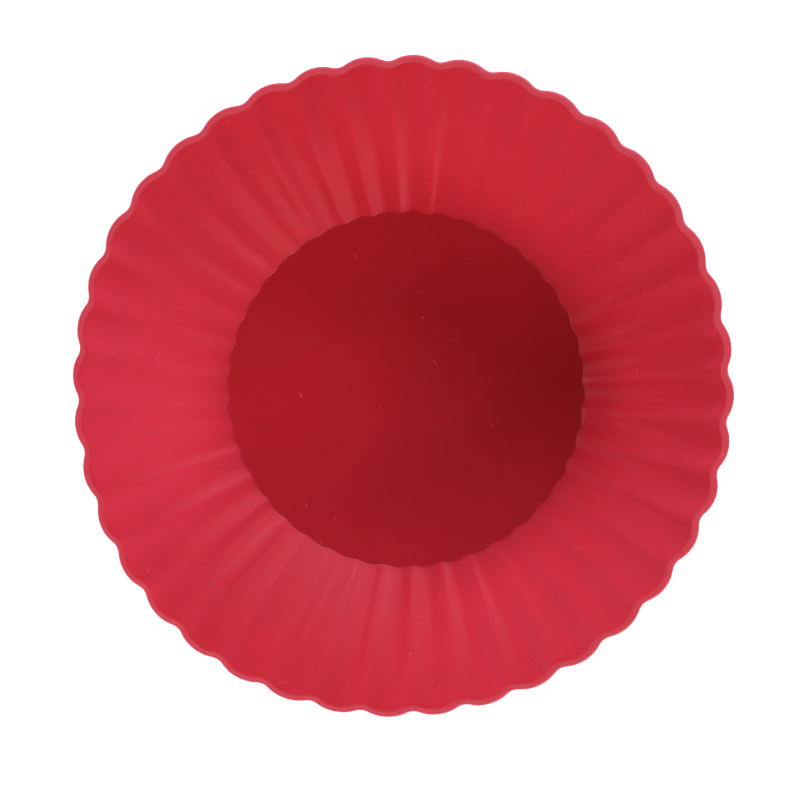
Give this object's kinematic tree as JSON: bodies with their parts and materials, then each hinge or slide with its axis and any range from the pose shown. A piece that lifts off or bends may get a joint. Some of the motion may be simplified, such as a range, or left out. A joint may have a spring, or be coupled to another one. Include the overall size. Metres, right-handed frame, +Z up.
{
  "type": "silicone muffin cup",
  "caption": "Round fluted baking cup with a flat floor, a flaring fluted wall and a scalloped rim, moulded in one piece of flexible silicone.",
  "frame": {"origin": "middle of the underside, where the cup stands", "axes": "+Z up along the cup's axis, out of its mouth; the crest of one flute lies on +X"},
  "size_m": [0.0698, 0.0698, 0.032],
  "materials": {
    "silicone_rubber": "satin"
  },
  "bodies": {
    "root": {"baking_cup": "silicone_rubber"}
  },
  "joints": []
}
